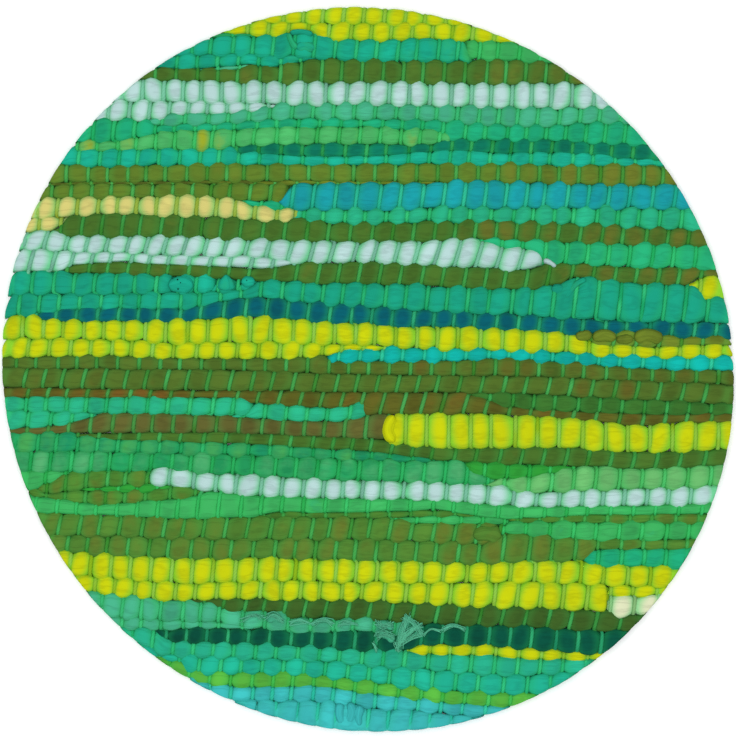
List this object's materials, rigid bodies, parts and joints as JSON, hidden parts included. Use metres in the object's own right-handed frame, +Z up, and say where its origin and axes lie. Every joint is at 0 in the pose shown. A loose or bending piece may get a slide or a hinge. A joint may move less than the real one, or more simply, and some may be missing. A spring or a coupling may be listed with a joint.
{
  "type": "rag rug",
  "caption": "Flat, nearly round piece of hand-woven rag rug, with folded cotton strips in greens, browns, teals and white packed over cotton warp cords, cut flush all round.",
  "frame": {"origin": "middle of the underside, on the surface that the rug lies on", "axes": "+X along the rag strips, +Y along the warp, +Z up out of the face that shows"},
  "size_m": [0.321, 0.318, 0.0094],
  "materials": {
    "rag_cotton": "soft matt folded cotton jersey, in many colours",
    "warp_cotton": "matt plied cotton thread"
  },
  "bodies": {
    "root": {"rug": "rag_cotton"}
  },
  "joints": []
}
